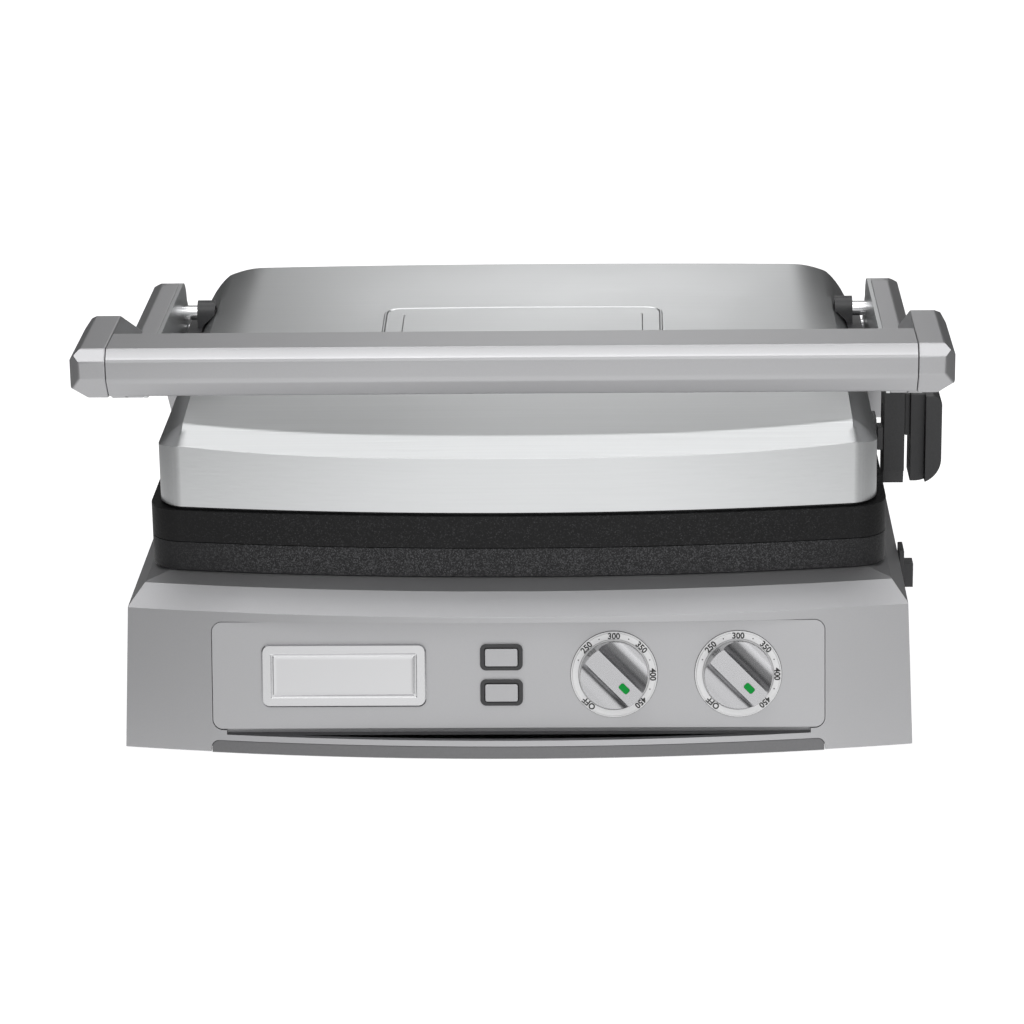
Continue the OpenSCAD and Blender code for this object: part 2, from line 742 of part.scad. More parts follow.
module handle_screws() placed() color(bright) both_sides() {
    rod_x(192, 211.2, -168, 204, 2.25);
    difference() {
        rod_x(211.1, 214, -168, 204, 4.5);
        rod_x(212.4, 215, -168, 204, 2);
    }
    // Threaded block held in the end of the bar
    translate([bar_half - 12, -179, 197.5]) difference() {
        cube([12, 24, 14.5]);
        translate([-1, 11, 6.5]) rotate([0, 90, 0]) cylinder(r = 2.25, h = 20);
    }
}

module pivot_pins() placed() color(bright) both_sides() rod_x(176.6, 199.5, pivot_y, pivot_z, pivot_pin_r);

// ---------------------------------------------------------------- height stop and release lever

module stop_housing() placed() color(dark) difference() {
    translate([194, lever_y - 14, stop_low]) cube([11, 28, 164.5 - stop_low]);
    // Hollow for the spring
    translate([196, lever_y - 11, 96]) cube([7, 22, 60]);
    rod_x(190, 207, lever_y, lever_z, 2.5);
    translate([192, lever_y - 18, 80]) rotate([20, 0, 0]) cube([20, 12, 14]);
}

module lever_pin() placed() color(bright) {
    rod_x(194.2, 216, lever_y, lever_z, 2.5);
}

module release_lever() placed() color(dark) difference() {
    shell_in = lever_in + 7.6;
    union() {
        // Bridge to the housing
        translate([205.4, lever_y - 9, 115]) cube([4, 18, 23]);
        // Thin inner web and the outer shell, under one large lower corner
        intersection() {
            union() {
                translate([lever_in, lever_y - 12, lever_low]) cube([shell_in - lever_in + 0.1, 24, 48.5]);
                translate([shell_in, lever_y - 18, lever_low]) cube([lever_out - shell_in, 33, 49]);
            }
            translate([0, 50, 0]) rotate([90, 0, 0]) linear_extrude(100) union() {
                translate([lever_out - 14, lever_low + 14]) circle(r = 14);
                translate([lever_out - 5, lever_low + 44]) circle(r = 5);
                translate([lever_in - 5, lever_low + 14]) square([lever_out - lever_in + 5, 30]);
                translate([lever_in - 5, lever_low]) square([lever_out - lever_in - 9, 20]);
                translate([lever_in - 5, lever_low + 30]) square([lever_out - lever_in, 19]);
            }
        }
    }
    rod_x(204, 216.5, lever_y, lever_z, 2.5 + pin_play);
}

module lever_spring() placed() color(bright)
    translate([199.5, lever_y, 99]) spring(2.6, 0.5, 24, 9);

// ---------------------------------------------------------------- lid

// Height of the lid's top, s from 0 at the brow to 1 at the back
function lid_rise(s) = lid_brow_z + (lid_top_z - lid_brow_z) * (1 - pow(1 - s, 1.5));

// Section of the lid's side: half width, height, and how far the steel's inside drops below it
lid_side = [
    [lid_half_w + 0.5, 80, 0], [lid_half_w, 145, 0], [lid_half_w - 1.6, 151, 0.1],
    [lid_half_w - 7.8, 165.7, 0.3], [lid_half_w - 15.8, 174, 0.6], [lid_half_w - 23.7, 178.2, 0.9],
    [lid_half_w - 36, 181, 1]
];

module lid_form(t, z0) {
    brow_run = 19;
    steps = 8;
    depth = lid_back - lid_front - brow_run;
    front_slope = 27.5;
    // Wall, bright slope and crowned top, turned about the middle of the bow
    top = [for (i = [0:steps + 1])
        [bow_r - brow_run - depth * i / steps - t * 0.6, lid_rise(min(i / steps, 1)) - t]];
    intersection() {
        translate([0, 0, z0]) linear_extrude(100)
            bowed_plan(lid_half_w - t, lid_front + t, lid_back - t, 18 - t);
        translate([0, lid_front + bow_r, 0]) rotate([0, 0, 250])
            rotate_extrude(angle = 40, $fn = bow_fn * 2)
                polygon(concat(
                    [[bow_r - t, 90], [bow_r - t, lid_wall_z - t * 0.6]], top,
                    [[700, top[steps][1]], [700, 90]]));
        // Side wall that rolls over into the top
        translate([0, 150, 0]) rotate([90, 0, 0]) linear_extrude(320) polygon(concat(
            [for (p = lid_side) [p[0] - t, p[1] - t * p[2]]],
            [for (i = [len(lid_side) - 1:-1:0]) [t - lid_side[i][0], lid_side[i][1] - t * lid_side[i][2]]]
        ));
        // Flatter slopes that run out at the front corners
        translate([0, lid_front + 19, 146]) rotate([5.9, 0, 0]) translate([0, 300, 0])
            rotate([90, 0, 0]) linear_extrude(400) polygon([
                [lid_half_w + 1 - t, -80], [lid_half_w + 1 - t, -t],
                [lid_half_w + 1 - 60 - t, 60 * tan(front_slope) - t * 0.9],
                [-lid_half_w - 1 + 60 + t, 60 * tan(front_slope) - t * 0.9],
                [-lid_half_w - 1 + t, -t], [-lid_half_w - 1 + t, -80]
            ]);
    }
}

module lid_cover() placed() color(steel) difference() {
    union() {
        difference() {
            lid_form(0, lid_z);
            lid_form(lid_t, lid_z - 20);
        }
        // Blank raised field with a border
        difference() {
            intersection() {
                lid_form(-0.7, lid_z);
                translate([0, 12, 130]) linear_extrude(80) round_rect(152, 65, 7);
            }
            lid_form(lid_t - 0.2, lid_z - 20);
        }
    }
    // Screw holes for the pivot brackets
    for (y = [-13, 13]) both_sides() rod_x(160, 190, pivot_y + y, 158, 1.6);
    rod_x(170, 190, button_y, upper_button_z, 3.9);
}

module lid_frame() placed() color(coated) difference() {
    bowed_slab(lid_half_w - lid_t - 0.5, lid_front + lid_t + 0.5, lid_back - lid_t - 0.5, 15,
        meet_z + gap + upper_rim - 0.2, lid_z + 10);
    bowed_slab(lid_half_w - 12, lid_front + 12, lid_back - 12, 10, 100, lid_z + 20);
}

module pivot_brackets() placed() color(dark) both_sides() difference() {
    union() {
        rod_x(170, 179.5, pivot_y, pivot_z, 6.8);
        translate([170, pivot_y - 6.8, 148]) cube([9.5, 13.6, 23]);
        translate([170, pivot_y - 18, 151]) cube([14.6, 36, 13]);
    }
    lid_form(-0.05, 110);
    rod_x(165, 200, pivot_y, pivot_z, pivot_pin_r + pin_play);
    for (y = [-13, 13]) rod_x(165, 200, pivot_y + y, 158, 1.5);
}

module bracket_screws() placed() color(bright) both_sides()
    for (y = [-13, 13]) {
        rod_x(172, 184.8, pivot_y + y, 158, 1.45);
        difference() {
            rod_x(184.7, 186.6, pivot_y + y, 158, 3);
            translate([186, pivot_y + y - 4, 157.6]) cube([2, 8, 0.8]);
        }
    }

module upper_heat_shield() placed() color(sheet) translate([0, 0, 2 * (lid_z + 6)]) mirror([0, 0, 1])
    heat_shield(lid_half_w - 14, lid_front + 14, lid_back - 14, lid_z - 6, lid_z + 10, 1.2);

module upper_heating_element() placed() color(dark) translate([0, 12, 0])
    heating_element(lid_z + 3, -7);

module upper_plate_clips() placed() color(bright)
    for (y = [-40, 80]) translate([0, y, 0]) both_sides()
        translate([0, 0, 250]) mirror([0, 0, 1]) plate_clip(161, 116.8, 137);

module upper_grill_plate() placed() color(coated)
    translate([0, 0, meet_z + 0.2 + upper_rim]) mirror([0, 0, 1]) grill_plate(upper_rim);

module upper_button_bezel() placed() color(dark) difference() {
    translate([lid_half_w + 0.1, button_y - 8, 127]) cube([2, 16, 17.6]);
    translate([180, button_y - 5.4, 120]) cube([20, 10.8, 19.4]);
}

module upper_plate_button() placed() color(dark) {
    difference() {
        rod_x(173.5, 187.5, button_y, upper_button_z, 3.6);
        rod_x(172, 178, button_y, upper_button_z, 2.8);
    }
    translate([186.4, button_y - 5, 127]) cube([2.8, 10, 12]);
}

module upper_button_spring() placed() color(bright)
    translate([171, button_y, upper_button_z]) rotate([0, 90, 0]) spring(2, 0.4, 5, 5);

// ---------------------------------------------------------------- pieces

base_housing();
bottom_pan();
rubber_feet();
pan_screws();
control_panel();
name_plate();
sear_bezels();
lower_dial_ring();
upper_dial_ring();
lower_dial_knob();
upper_dial_knob();
lower_dial_lens();
upper_dial_lens();
lower_sear_button();
upper_sear_button();
control_board();
sear_switches();
lower_thermostat();
upper_thermostat();
lower_heat_shield();
lower_heating_element();
lower_plate_clips();
lower_grill_plate();
lower_button_bezel();
lower_plate_button();
lower_button_spring();
tray_guides();
drip_tray();
cord_gland();
terminal_block();
hinge_brackets();
hinge_pins();
hinge_bushings();
left_arm();
right_arm();
left_arm_cover();
right_arm_cover();
handle_bar();
handle_screws();
pivot_pins();
stop_housing();
lever_pin();
release_lever();
lever_spring();
lid_cover();
lid_frame();
pivot_brackets();
bracket_screws();
upper_heat_shield();
upper_heating_element();
upper_plate_clips();
upper_grill_plate();
upper_button_bezel();
upper_plate_button();
upper_button_spring();
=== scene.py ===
# %% [markdown]
# # An electric indoor grill with a lid
# The object is a countertop contact grill: a bowed base with two dials, a ribbed plate, and an upper
# plate under a steel lid that two arms and a full-width handle bar carry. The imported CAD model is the
# fixed frame, so every piece made here is placed by the frame's own millimetres.

# %% Load the frame
import json
from math import cos, radians, sin, sqrt, tan

import bmesh
import bpy
from mathutils import Matrix, Vector

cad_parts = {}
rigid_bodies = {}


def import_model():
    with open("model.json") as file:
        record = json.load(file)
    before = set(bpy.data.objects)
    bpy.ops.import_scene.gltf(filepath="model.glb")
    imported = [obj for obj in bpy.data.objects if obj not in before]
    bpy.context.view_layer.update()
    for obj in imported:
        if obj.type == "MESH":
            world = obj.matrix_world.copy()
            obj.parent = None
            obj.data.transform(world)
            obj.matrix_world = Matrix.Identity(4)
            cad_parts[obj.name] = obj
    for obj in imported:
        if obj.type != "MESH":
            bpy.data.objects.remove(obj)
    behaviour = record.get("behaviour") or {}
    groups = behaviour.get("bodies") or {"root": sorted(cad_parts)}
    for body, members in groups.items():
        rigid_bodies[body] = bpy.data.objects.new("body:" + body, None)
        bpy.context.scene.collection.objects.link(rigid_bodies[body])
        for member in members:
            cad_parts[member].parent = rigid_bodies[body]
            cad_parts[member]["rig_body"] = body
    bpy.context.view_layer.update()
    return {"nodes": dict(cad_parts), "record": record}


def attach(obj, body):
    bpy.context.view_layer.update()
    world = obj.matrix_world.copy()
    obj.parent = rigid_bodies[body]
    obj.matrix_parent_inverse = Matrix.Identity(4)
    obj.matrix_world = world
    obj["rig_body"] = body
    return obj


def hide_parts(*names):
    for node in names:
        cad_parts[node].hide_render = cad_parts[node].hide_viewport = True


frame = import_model()

# %% [markdown]
# The source draws the grill about its own mid-plane and then shifts it, because the release lever makes
# the outline lopsided. The same shift is used here, so a piece can be drawn in the source's millimetres
# and `to_frame` puts it in metres where the CAD has it.

# %% The drawing's millimetres
MID = Vector((-4.3, 19.5, 0))
BOW_R = 1100
to_frame = Matrix.Scale(0.001, 4) @ Matrix.Translation(MID)


def bow(x):
    """How far back the bowed front has gone at x."""
    return BOW_R - sqrt(BOW_R * BOW_R - x * x)


print("the bow is", round(bow(180), 1), "mm deep at x 180")

# %% [markdown]
# ## Camera
# The photograph looks slightly down on the grill through a long lens, almost square to the front. The
# camera is placed by its position and its target, with the photograph's small roll put in by turning
# the right and up directions about the view.

# %% Camera at the photograph's angle
camera = bpy.data.objects.new("camera", bpy.data.cameras.new("camera"))
bpy.context.scene.collection.objects.link(camera)
eye = Vector((0.0549, -1.9443, 0.7108))
target = Vector((-0.01097, 0.0195, 0.0724))
roll = radians(-0.91)
ahead = (target - eye).normalized()
right = ahead.cross(Vector((0, 0, 1))).normalized()
up = right.cross(ahead)
right, up = right * cos(roll) + up * sin(roll), up * cos(roll) - right * sin(roll)
camera.matrix_world = Matrix.Translation(eye) @ Matrix((right, up, -ahead)).transposed().to_4x4()
camera.data.sensor_width = 36
camera.data.lens = 133.6
camera.data.clip_end = 20
bpy.context.scene.camera = camera
print("camera", round((target - eye).length, 3), "m from its target")

# %% [markdown]
# ## Finishes
# Each material is a Principled BSDF with noise behind it. A brushed or painted face is never one flat
# colour: the noise shifts its colour, its roughness and its bump a little, at the scale the real finish
# has. Stretching the noise along one axis turns grains into brush lines.


# %% A helper for node materials
def finish(name, colour, rough, metallic=0.0, spread=0.04, rough_spread=0.05, grain=(900, 900, 900),
           bump=0.03, coat=0.0, smudge=0.0, detail=4.0, mirror=0.5):
    """A Principled material whose colour, roughness and bump follow one noise, with slow smudges."""
    mat = bpy.data.materials.new(name)
    mat.use_nodes = True
    nodes, links = mat.node_tree.nodes, mat.node_tree.links
    shader = nodes["Principled BSDF"]
    shader.inputs["Metallic"].default_value = metallic
    shader.inputs["Coat Weight"].default_value = coat
    shader.inputs["Specular IOR Level"].default_value = mirror
    where = nodes.new("ShaderNodeTexCoord")
    stretch = nodes.new("ShaderNodeMapping")
    stretch.inputs["Scale"].default_value = grain
    noise = nodes.new("ShaderNodeTexNoise")
    noise.inputs["Scale"].default_value = 1.0
    noise.inputs["Detail"].default_value = detail
    slow = nodes.new("ShaderNodeTexNoise")
    slow.inputs["Scale"].default_value = 14.0
    links.new(where.outputs["Object"], stretch.inputs["Vector"])
    links.new(stretch.outputs["Vector"], noise.inputs["Vector"])
    links.new(where.outputs["Object"], slow.inputs["Vector"])
    tone = nodes.new("ShaderNodeMix")
    tone.data_type = "RGBA"
    tone.inputs["A"].default_value = (*[c * (1 - spread) for c in colour], 1)
    tone.inputs["B"].default_value = (*[min(1, c * (1 + spread)) for c in colour], 1)
    links.new(noise.outputs["Fac"], tone.inputs["Factor"])
    links.new(tone.outputs["Result"], shader.inputs["Base Color"])
    dull = nodes.new("ShaderNodeMapRange")
    dull.inputs["To Min"].default_value = rough - rough_spread
    dull.inputs["To Max"].default_value = rough + rough_spread
    links.new(noise.outputs["Fac"], dull.inputs["Value"])
    hazed = nodes.new("ShaderNodeMath")
    hazed.operation = "MULTIPLY_ADD"
    hazed.inputs[1].default_value = smudge
    links.new(slow.outputs["Fac"], hazed.inputs[0])
    links.new(dull.outputs["Result"], hazed.inputs[2])
    links.new(hazed.outputs["Value"], shader.inputs["Roughness"])
    dent = nodes.new("ShaderNodeBump")
    dent.inputs["Strength"].default_value = bump
    dent.inputs["Distance"].default_value = 0.001
    links.new(noise.outputs["Fac"], dent.inputs["Height"])
    links.new(dent.outputs["Normal"], shader.inputs["Normal"])
    return mat


print("finish helper ready")

# %% [markdown]
# The lid is brushed stainless steel: the brush ran from side to side, so its lines are long in x and
# fine in y and z. The base, arms and handle are a satin silver paint over metal, finer and less sharp
# in what it mirrors. The badge, rings and pins are polished.

# %% Bright finishes
brushed = finish("brushed_steel", (0.63, 0.64, 0.645), 0.31, metallic=0.95, spread=0.05,
                 grain=(6, 700, 700), bump=0.05, smudge=0.06)
satin = finish("satin_silver", (0.46, 0.46, 0.47), 0.4, metallic=0.85, spread=0.05,
               grain=(1800, 1800, 1800), bump=0.03, smudge=0.05)
polished = finish("polished_steel", (0.74, 0.74, 0.75), 0.16, metallic=1.0, spread=0.02,
                  grain=(40, 900, 900), bump=0.01, smudge=0.05)
sheet = finish("sheet_metal", (0.5, 0.51, 0.52), 0.4, metallic=0.9, grain=(500, 20, 500), bump=0.05)
grey = finish("grey_underside", (0.2, 0.2, 0.205), 0.45, metallic=0.6, spread=0.1, grain=(900, 900, 900))
badge_metal = finish("badge_metal", (0.62, 0.62, 0.63), 0.24, metallic=1.0, spread=0.01,
                     grain=(40, 400, 400), bump=0.0, rough_spread=0.02)
# Near-black finish for the ledge under the panel: painted shade.
ledge_painted_shade = finish("ledge_shadow", (0.09, 0.09, 0.095), 0.5, metallic=0.4, spread=0.1)
ring_paint = finish("dial_ring_silver", (0.78, 0.78, 0.785), 0.4, metallic=0.55, grain=(1500, 1500, 1500))
knob_metal = finish("knob_silver", (0.46, 0.46, 0.47), 0.26, metallic=0.9, spread=0.02,
                    grain=(300, 30, 300), bump=0.0, rough_spread=0.02)
print("bright finishes", [m.name for m in (brushed, satin, polished, sheet)])

# %% [markdown]
# The moulded parts are black plastic with a fine spark-eroded texture, the feet are rubber, and the
# small inner parts each have the colour that such a part has in a real grill.

# %% Dark and small-part finishes
plastic = finish("black_plastic", (0.045, 0.045, 0.047), 0.42, spread=0.15, bump=0.08)
rubber = finish("rubber_black", (0.03, 0.03, 0.03), 0.7, spread=0.2, bump=0.1)
ceramic = finish("white_ceramic", (0.75, 0.74, 0.70), 0.3, spread=0.03, coat=0.4)
oxide = finish("oxidised_sheath", (0.12, 0.115, 0.11), 0.55, metallic=0.6, spread=0.3,
               grain=(300, 300, 300), bump=0.1)
mask = finish("solder_mask", (0.03, 0.18, 0.07), 0.3, spread=0.2, grain=(260, 260, 260))
bronze = finish("sintered_bronze", (0.5, 0.33, 0.15), 0.4, metallic=1.0, spread=0.15)
lens = finish("green_lens", (0.0, 0.36, 0.05), 0.3, spread=0.1, mirror=0.2)
# Black for the printed dial marks, and for the painted shadow of the gap round each dial ring.
print_and_gap_shade = finish("black_ink", (0.02, 0.02, 0.02), 0.5, spread=0.1)
print("dark finishes made")

# %% [markdown]
# The plates are cast aluminium under a black non-stick coating with pale flecks in it. A Voronoi
# texture gives every fleck its own cell, and only the cells whose random value is high turn pale. The
# lower plate's coating has a lighter black and more, paler flecks: painted light for the light its
# upward-tilted side catches. The flecks thin out towards the ends.


# %% Speckled non-stick coating
def speckled(name, first, colour, under=0.009):
    """Black coating in which the cells above first, from 0 to 1, are flecks of a colour."""
    mat = finish(name, (under, under, under * 1.05), 0.5, spread=0.3, grain=(700, 700, 700), bump=0.2,
                 mirror=0.22)
    nodes, links = mat.node_tree.nodes, mat.node_tree.links
    base_tone = next(n for n in nodes if n.type == "MIX")
    cells = nodes.new("ShaderNodeTexVoronoi")
    cells.inputs["Scale"].default_value = 1900
    pick = nodes.new("ShaderNodeValToRGB")
    pick.color_ramp.elements[0].position = first
    pick.color_ramp.elements[1].position = 1.0
    fleck = nodes.new("ShaderNodeMix")
    fleck.data_type = "RGBA"
    fleck.inputs["B"].default_value = (*colour, 1)
    links.new(nodes["Texture Coordinate"].outputs["Object"], cells.inputs["Vector"])
    links.new(cells.outputs["Color"], pick.inputs["Fac"])
    spread_out = nodes.new("ShaderNodeSeparateXYZ")
    links.new(nodes["Texture Coordinate"].outputs["Object"], spread_out.inputs["Vector"])
    aside = nodes.new("ShaderNodeMath")
    aside.operation = "ABSOLUTE"
    links.new(spread_out.outputs["X"], aside.inputs[0])
    fewer = nodes.new("ShaderNodeMapRange")
    for socket, value in (("From Min", 0.13), ("From Max", 0.185), ("To Min", 1.0), ("To Max", 0.1)):
        fewer.inputs[socket].default_value = value
    links.new(aside.outputs["Value"], fewer.inputs["Value"])
    dimmed = nodes.new("ShaderNodeMath")
    dimmed.operation = "MULTIPLY"
    links.new(pick.outputs["Color"], dimmed.inputs[0])
    links.new(fewer.outputs["Result"], dimmed.inputs[1])
    links.new(dimmed.outputs["Value"], fleck.inputs["Factor"])
    links.new(base_tone.outputs["Result"], fleck.inputs["A"])
    links.new(fleck.outputs["Result"], nodes["Principled BSDF"].inputs["Base Color"])
    return mat


coating = speckled("nonstick_coating", 0.66, (0.06, 0.06, 0.063))
# Lower plate: the lighter black and the more and paler flecks are painted light for its upward tilt.
painted_light_coating = speckled("worn_nonstick_coating", 0.45, (0.125, 0.125, 0.13), 0.02)
print("flecks about", round(1000 / 1900, 1), "mm apart")

# %% [markdown]
# Every CAD node is given the finish of its slot in the record, so nothing is left in a plain colour,
# not even a part that only shows when the lid is up.

# %% Finish every CAD node
by_slot = {
    "silver_paint": satin, "brushed_steel": brushed, "polished_steel": polished, "sheet_metal": sheet,
    "nonstick_coating": coating, "dark_plastic": plastic, "rubber": rubber, "ceramic_block": ceramic,
    "element_sheath": oxide, "circuit_board": mask, "green_lens": lens, "bronze": bronze,
}
by_node = {
    "lower_grill_plate": painted_light_coating, "bottom_pan": grey, "lower_dial_ring": ring_paint,
    "upper_dial_ring": ring_paint, "lower_dial_knob": knob_metal, "upper_dial_knob": knob_metal,
}
slot_of = {s["node"]: s["material_slot"] for s in frame["record"]["subparts"]}
for name, node in frame["nodes"].items():
    node.data.materials.clear()
    node.data.materials.append(by_node.get(name, by_slot[slot_of[name]]))
print(len(slot_of), "nodes finished")

# %% [markdown]
# ## Edges
# A real edge is never perfectly sharp, and the thin highlight along it is much of what makes metal look
# like metal. The CAD meshes stay as they are, so a visible node gets a copy: its loose triangles are
# merged, flat faces are joined, and every hard edge is bevelled by a fraction of a millimetre.


# %% A helper that finishes a bmesh into a piece
def make_piece(bm, name, body, mat, sharp=36):
    """Turn a bmesh in metres into an object that rides on a body."""
    mesh = bpy.data.meshes.new(name)
    bm.to_mesh(mesh)
    bm.free()
    mesh.materials.append(mat)
    mesh.shade_smooth()
    mesh.set_sharp_from_angle(angle=radians(sharp))
    piece = bpy.data.objects.new(name, mesh)
    bpy.context.scene.collection.objects.link(piece)
    weigh = piece.modifiers.new("flat faces stay flat", "WEIGHTED_NORMAL")
    weigh.weight, weigh.keep_sharp = 100, True
    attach(piece, body)
    return piece


# %% A helper that softens a CAD node's edges
def soften(node_name, width, least=0.0, most=180):
    """A copy of a CAD node with bevelled edges. Above zero, least leaves out edges shorter than it (mm),
    hollow edges and those sharper than most degrees, and the bevel then keeps its full width."""
    node = frame["nodes"][node_name]
    bm = bmesh.new()
    bm.from_mesh(node.data)
    bmesh.ops.remove_doubles(bm, verts=bm.verts, dist=2e-6)
    bmesh.ops.dissolve_limit(bm, angle_limit=radians(0.6), verts=bm.verts, edges=bm.edges)
    folds = [e for e in bm.edges if len(e.link_faces) == 2]
    hard = [e for e in folds if radians(12) < e.calc_face_angle(0) < radians(most)]
    if least:
        hard = [e for e in hard if e.is_convex and e.calc_length() > least / 1000]
    bmesh.ops.bevel(bm, geom=hard, offset=width / 1000, offset_type="OFFSET", segments=3, affect="EDGES",
                    profile=0.5, clamp_overlap=not least, material=-1)
    mat, slot = node.data.materials[0], slot_of[node_name]
    piece = make_piece(bm, node_name + "_soft", node["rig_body"], mat, 11)
    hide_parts(node_name)
    return piece


softened = {
    "base_housing": (0.5, 0), "control_panel": (0.35, 0), "handle_bar": (2.0, 5, 70), "left_arm": (0.8, 7),
    "right_arm": (0.8, 7), "release_lever": (0.8, 0), "stop_housing": (0.5, 0), "rubber_feet": (0.8, 0),
    "lower_plate_button": (0.6, 0), "upper_plate_button": (0.6, 0), "pivot_brackets": (0.5, 0),
    "lower_button_bezel": (0.4, 0), "upper_button_bezel": (0.4, 0), "lower_sear_button": (0.35, 0),
    "upper_sear_button": (0.35, 0), "sear_bezels": (0.3, 0), "lower_dial_ring": (0.2, 0),
    "upper_dial_ring": (0.2, 0), "lower_dial_knob": (0.35, 0), "upper_dial_knob": (0.35, 0),
    "lower_grill_plate": (0.6, 0), "upper_grill_plate": (0.6, 0),
}
pieces = {name: soften(name, *how) for name, how in softened.items()}
print(sum(len(piece.data.polygons) for piece in pieces.values()), "faces in", len(pieces), "softened pieces")

# %% [markdown]
# Below the panel the recess ends in a narrow ledge, which lies in the panel's shade. Its faces are found
# by their height and direction on the finished shell, and get a second, dark material: painted shade.

# %% Painted shade on the ledge under the panel
def is_ledge(face):
    """Whether a face of the shell belongs to the ledge: low, in front, and facing up or to the back."""
    low = 0.008 < face.center.z < 0.0125 and face.center.y < -0.12 and abs(face.center.x) < 0.155
    return low and max(face.normal.z, face.normal.y) > 0.9


shell = pieces["base_housing"].data
shell.materials.append(ledge_painted_shade)
on_ledge = [face for face in shell.polygons if is_ledge(face)]
for face in on_ledge:
    face.material_index = 1
print(len(on_ledge), "faces of the ledge darkened")

# %% [markdown]
# ## The lid
# The lid is one pressed sheet: an upright front wall, a bright slope, a brow line, and a top that rises
# to the back and rolls over at its sides. A flat face is cut into strips with `bisect_plane`, so the
# lines fall just where the form needs them. Then each corner is lifted to the height of the form there.

# %% Heights of the lid
SHEET = 1.2


def crease(s):
    """Half width at which the top ends and the steep side facet begins, at depth s behind the front."""
    return 171 - 3 * min(1, max(0, s - 19) / 237)


def lid_height(x, y):
    """Height of the lid's outer face: front slope, rising top, and a shoulder down to the side edge."""
    s, x = y + 137 - bow(x), abs(x)
    lift = 3.6 * max(0, (min(x, 171) - 60) / 111) ** 2.2
    t = min(1, max(0, s - 19) / 237)
    if s < 19:
        top = 145 + lift + 7 * s / 19
    else:
        top = 152 + lift * (1 - t) ** 2 + 28 * (1 - (1 - t) ** 1.5)
        top += 0.9 * t * max(0, 1 - (x / 160) ** 2)
        top -= 4.3 * t * (max(0, min(x, crease(s)) - 149) / (crease(s) - 149)) ** 2
    if x <= crease(s):
        return top
    along = min(1, (x - crease(s)) / (183.6 - crease(s)))
    round_off = 0.65 * t * (1 - sqrt(1 - along ** 2)) + (1 - 0.65 * t) * along
    return top + (146 - top) * round_off


print("lid heights", [round(lid_height(x, -110), 1) for x in (0, 100, 171)])

# %% The lid's flat blank, cut to its outline
bm = bmesh.new()
bmesh.ops.create_grid(bm, x_segments=1, y_segments=1, size=1)
for v in bm.verts:
    v.co = Vector((v.co.x * 183.6, -18 if v.co.y > 0 else -274, 0)) + Vector((0, 137, 0))
print("blank", len(bm.verts), "corners, still in depth behind the bow")


# %% Strips where the form turns
def cut(bm, co, no, clear=False):
    geom = bm.verts[:] + bm.edges[:] + bm.faces[:]
    bmesh.ops.bisect_plane(bm, geom=geom, plane_co=co, plane_no=no, dist=1e-4, clear_outer=clear)


for v in bm.verts:
    v.co = Vector((v.co.x, 0 if v.co.y < 0 else 256, 0))
turns = [0, 12, 24, 36, 48, 60, 72, 84, 96, 108, 120, 130, 138, 144, 149, 153, 157, 161, 164.5, 168, 171,
         173.2, 175.5, 177.7, 179.6, 181.2, 182.4, 183.2]
for x in turns:
    for side in {x, -x}:
        cut(bm, (side, 0, 0), (1, 0, 0))
for depth in [2, 6, 10, 14, 17.5, 19, 20.5, 24, 30] + list(range(38, 256, 9)):
    cut(bm, (0, depth, 0), (0, 1, 0))
for v in bm.verts:
    x, edge = abs(v.co.x), crease(v.co.y)
    x = x * edge / 171 if x <= 171 else edge + (x - 171) * (183.6 - edge) / 12.6
    v.co.x = x if v.co.x > 0 else -x
    v.co.y += bow(v.co.x) - 137
cut(bm, (0, 119, 0), (0, 1, 0), clear=True)
print("strips", len(bm.faces))

# %% Rounded corners, walls and steel thickness
for sx in (-1, 1):
    for cy, sy, last in ((-137 + bow(165.6) + 18 * 0.99, -1, 80), (101, 1, 90)):
        for a in range(6, last, 6):
            no = Vector((sx * cos(radians(a)), sy * sin(radians(a)), 0))
            middle = Vector((sx * 165.6, cy, 0))
            cut(bm, middle + no * 18, no, clear=True)
for v in bm.verts:
    v.co.z = lid_height(v.co.x, v.co.y)
rim = [e for e in bm.edges if e.is_boundary]
wall = bmesh.ops.extrude_edge_only(bm, edges=rim)
for v in wall["geom"]:
    if isinstance(v, bmesh.types.BMVert):
        v.co.z = 116.5
top_edge = [e for e in rim if e.is_valid]
bmesh.ops.bevel(bm, geom=top_edge, offset=1.6, offset_type="OFFSET", segments=3, affect="EDGES",
                profile=0.5, clamp_overlap=True, material=-1)
bmesh.ops.recalc_face_normals(bm, faces=bm.faces)
if sum(f.normal.z for f in bm.faces) < 0:
    bmesh.ops.reverse_faces(bm, faces=bm.faces)
bmesh.ops.solidify(bm, geom=bm.faces[:], thickness=SHEET)
print("lid top at", round(max(v.co.z for v in bm.verts), 2), "mm")
bmesh.ops.transform(bm, matrix=to_frame, verts=bm.verts)
lid_shell = make_piece(bm, "lid_shell", "lid", brushed, sharp=28)
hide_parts("lid_cover")
print("lid shell", len(lid_shell.data.polygons), "faces")

# %% [markdown]
# A shallow plaque lies on the lid behind the handle: a raised bead round a blank field.
# It starts as a rectangle with bevelled corners; each extrusion is one step of the pressed section.


